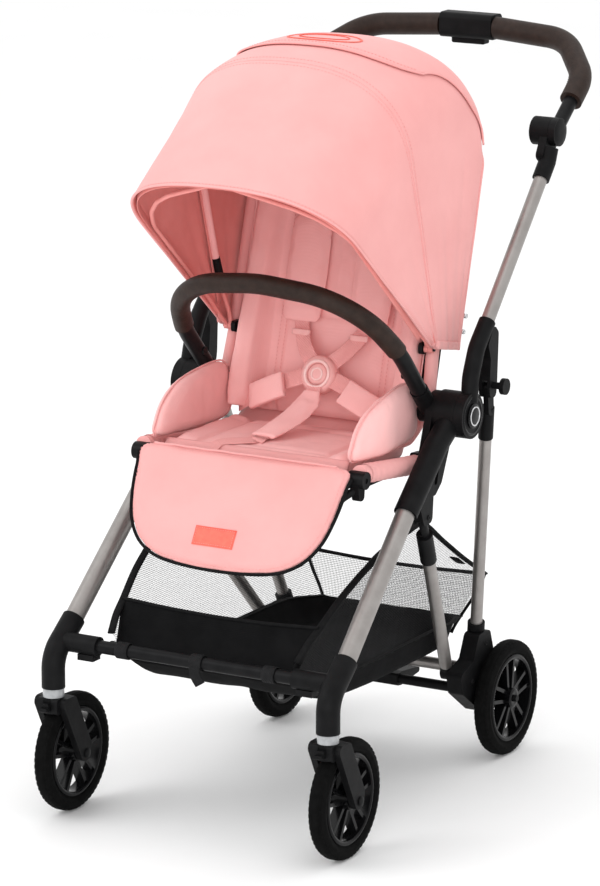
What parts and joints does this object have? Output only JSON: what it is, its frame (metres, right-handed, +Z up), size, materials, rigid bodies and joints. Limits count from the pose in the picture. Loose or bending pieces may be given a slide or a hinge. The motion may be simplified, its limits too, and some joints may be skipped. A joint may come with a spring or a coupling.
{
  "type": "baby stroller",
  "caption": "Folding baby stroller with swivel front wheels, fixed rear wheels, reclining padded seat, footrest, bumper bar, pivoting canopy, tilting handlebar and under-seat basket.",
  "frame": {"origin": "on the floor, under the middle of the stroller's overall length and width", "axes": "+Z up; +X towards the stroller's left side as seen from the front; the stroller faces -Y"},
  "size_m": [0.53, 0.8936, 1.0934],
  "materials": {
    "tyre": "matt black rubber foam tread",
    "gloss_black": "gloss black moulding",
    "black_plastic": "fine-textured matt black moulding",
    "grey_tube": "satin warm grey coated aluminium tube",
    "black_tube": "satin black coated aluminium tube",
    "steel": "plain pin",
    "leather": "dark brown stitched leather look",
    "pink_fabric": "pale pink woven canvas",
    "black_mesh": "black mesh and coated cloth",
    "pink_plastic": "pale pink moulding",
    "webbing": "black woven webbing"
  },
  "bodies": {
    "front_frame": {"leg_sockets": "black_plastic", "caster_rings": "gloss_black", "front_leg_tubes": "grey_tube", "leg_sleeves": "black_plastic", "hub_housings": "black_plastic", "front_cross_tube": "grey_tube", "basket": "black_mesh", "seat_side_tubes": "pink_fabric", "seat_adapters": "black_plastic", "seat_pan": "black_plastic", "seat_pad": "pink_fabric", "seat_wings": "pink_fabric", "harness_buckle": "pink_plastic", "crotch_pad": "pink_fabric"},
    "handle_frame": {"handle_tubes": "grey_tube", "handle_elbows": "black_plastic", "rear_pivot_pins": "black_plastic", "hub_caps": "gloss_black", "tilt_bases": "black_plastic"},
    "handlebar": {"handlebar_tube": "black_tube", "handlebar_leather": "leather", "handlebar_housing": "black_plastic"},
    "trigger": {"fold_trigger": "black_plastic"},
    "left_tilt_button": {"left_tilt_button": "black_plastic"},
    "right_tilt_button": {"right_tilt_button": "black_plastic"},
    "rear_frame": {"rear_leg_tubes": "grey_tube", "rear_leg_tops": "black_plastic", "rear_brackets": "black_plastic", "rear_cross_bar": "grey_tube"},
    "brake": {"brake_bar": "black_plastic"},
    "links": {"link_tubes": "grey_tube", "link_fittings": "black_plastic"},
    "left_caster": {"left_caster_fork": "black_plastic"},
    "right_caster": {"right_caster_fork": "black_plastic"},
    "left_swivel_lock": {"left_swivel_lock": "black_plastic"},
    "right_swivel_lock": {"right_swivel_lock": "black_plastic"},
    "left_front_wheel": {"left_front_tyre": "tyre", "left_front_rim": "gloss_black"},
    "right_front_wheel": {"right_front_tyre": "tyre", "right_front_rim": "gloss_black"},
    "left_rear_wheel": {"left_rear_tyre": "tyre", "left_rear_rim": "gloss_black"},
    "right_rear_wheel": {"right_rear_tyre": "tyre", "right_rear_rim": "gloss_black"},
    "backrest": {"backrest_frame": "black_tube", "backrest_board": "black_mesh", "backrest_pad": "pink_fabric", "shoulder_pads": "pink_fabric", "shoulder_straps": "webbing", "canopy_fabric": "pink_fabric"},
    "recline_lever": {"recline_lever": "black_plastic"},
    "front_bow": {"canopy_front_bow": "black_plastic"},
    "middle_bow": {"canopy_middle_bow": "black_plastic"},
    "footrest": {"footrest_panel": "pink_fabric", "footrest_frame": "black_tube"},
    "bumper_bar": {"bumper_tube": "black_tube", "bumper_leather": "leather"},
    "left_bumper_button": {"left_bumper_button": "black_plastic"},
    "right_bumper_button": {"right_bumper_button": "black_plastic"},
    "buckle_button": {"buckle_button": "pink_plastic"}
  },
  "joints": [
    {"name": "frame_fold", "type": "hinge", "parent": "front_frame", "child": "handle_frame", "pos_m": [0, -0.01879, 0.567], "axis": [-1, 0, 0], "range_deg": [0, 125], "deforming": ["basket"]},
    {"name": "rear_leg_fold", "type": "hinge", "parent": "handle_frame", "child": "rear_frame", "pos_m": [0, 0.04221, 0.594], "axis": [1, 0, 0], "range_deg": [0, 88.5]},
    {"name": "link_fold", "type": "hinge", "parent": "front_frame", "child": "links", "pos_m": [0, -0.10879, 0.434], "axis": [-1, 0, 0], "range_deg": [0, 59.5]},
    {"name": "handlebar_tilt", "type": "hinge", "parent": "handle_frame", "child": "handlebar", "pos_m": [0, 0.25121, 0.938], "axis": [1, 0, 0], "range_deg": [-20, 27]},
    {"name": "fold_trigger_press", "type": "slide", "parent": "handlebar", "child": "trigger", "axis": [0, 0, 1], "range_m": [0, 0.003], "stiffness_N_per_m": 700, "springref_m": -0.001},
    {"name": "left_tilt_press", "type": "slide", "parent": "handle_frame", "child": "left_tilt_button", "axis": [1, 0, 0], "range_m": [0, 0.003], "stiffness_N_per_m": 500, "springref_m": -0.001},
    {"name": "right_tilt_press", "type": "slide", "parent": "handle_frame", "child": "right_tilt_button", "axis": [-1, 0, 0], "range_m": [0, 0.003], "stiffness_N_per_m": 500, "springref_m": -0.001},
    {"name": "left_caster_swivel", "type": "hinge", "parent": "front_frame", "child": "left_caster", "pos_m": [0.225, -0.40639, 0.18], "axis": [0, 0, 1], "continuous": true},
    {"name": "left_front_wheel_spin", "type": "hinge", "parent": "left_caster", "child": "left_front_wheel", "pos_m": [0.225, -0.35979, 0.087], "axis": [1, 0, 0], "continuous": true},
    {"name": "left_swivel_lock_slide", "type": "slide", "parent": "left_caster", "child": "left_swivel_lock", "axis": [0, 0, 1], "range_m": [0, 0.004]},
    {"name": "left_rear_wheel_spin", "type": "hinge", "parent": "rear_frame", "child": "left_rear_wheel", "pos_m": [0.195, 0.18921, 0.087], "axis": [1, 0, 0], "continuous": true},
    {"name": "left_bumper_button_press", "type": "slide", "parent": "bumper_bar", "child": "left_bumper_button", "axis": [1, 0, 0], "range_m": [0, 0.002], "stiffness_N_per_m": 400, "springref_m": -0.001},
    {"name": "right_caster_swivel", "type": "hinge", "parent": "front_frame", "child": "right_caster", "pos_m": [-0.225, -0.40639, 0.18], "axis": [0, 0, 1], "continuous": true},
    {"name": "right_front_wheel_spin", "type": "hinge", "parent": "right_caster", "child": "right_front_wheel", "pos_m": [-0.225, -0.35979, 0.087], "axis": [1, 0, 0], "continuous": true},
    {"name": "right_swivel_lock_slide", "type": "slide", "parent": "right_caster", "child": "right_swivel_lock", "axis": [0, 0, 1], "range_m": [0, 0.004]},
    {"name": "right_rear_wheel_spin", "type": "hinge", "parent": "rear_frame", "child": "right_rear_wheel", "pos_m": [-0.195, 0.18921, 0.087], "axis": [1, 0, 0], "continuous": true},
    {"name": "right_bumper_button_press", "type": "slide", "parent": "bumper_bar", "child": "right_bumper_button", "axis": [-1, 0, 0], "range_m": [0, 0.002], "stiffness_N_per_m": 400, "springref_m": -0.001},
    {"name": "brake_press", "type": "hinge", "parent": "rear_frame", "child": "brake", "pos_m": [0, 0.13221, 0.108], "axis": [-1, 0, 0], "range_deg": [0, 15]},
    {"name": "backrest_recline", "type": "hinge", "parent": "front_frame", "child": "backrest", "pos_m": [0, -0.01879, 0.567], "axis": [-1, 0, 0], "range_deg": [0, 50]},
    {"name": "recline_lever_lift", "type": "slide", "parent": "backrest", "child": "recline_lever", "axis": [0, 0.2639, 0.9646], "range_m": [0, 0.012], "stiffness_N_per_m": 300, "springref_m": -0.003},
    {"name": "footrest_tilt", "type": "hinge", "parent": "front_frame", "child": "footrest", "pos_m": [0, -0.23579, 0.511], "axis": [-1, 0, 0], "range_deg": [0, 50]},
    {"name": "canopy_fold", "type": "hinge", "parent": "backrest", "child": "front_bow", "pos_m": [0, -0.00979, 0.655], "axis": [-1, 0, 0], "range_deg": [0, 45], "deforming": ["canopy_fabric"]},
    {"name": "canopy_middle_fold", "type": "hinge", "parent": "backrest", "child": "middle_bow", "pos_m": [0, -0.00979, 0.655], "axis": [-1, 0, 0], "range_deg": [0, 23]},
    {"name": "bumper_pull", "type": "slide", "parent": "front_frame", "child": "bumper_bar", "axis": [0, -0.682, 0.7314], "range_m": [0, 0.045]},
    {"name": "buckle_press", "type": "slide", "parent": "front_frame", "child": "buckle_button", "axis": [0, 0.9397, -0.342], "range_m": [0, 0.002], "stiffness_N_per_m": 500, "springref_m": -0.001}
  ],
  "couplings": [
    {"joint": "rear_leg_fold", "follows": "frame_fold", "ratio": 0.705},
    {"joint": "link_fold", "follows": "frame_fold", "ratio": 0.47},
    {"joint": "canopy_middle_fold", "follows": "canopy_fold", "ratio": 0.5}
  ]
}
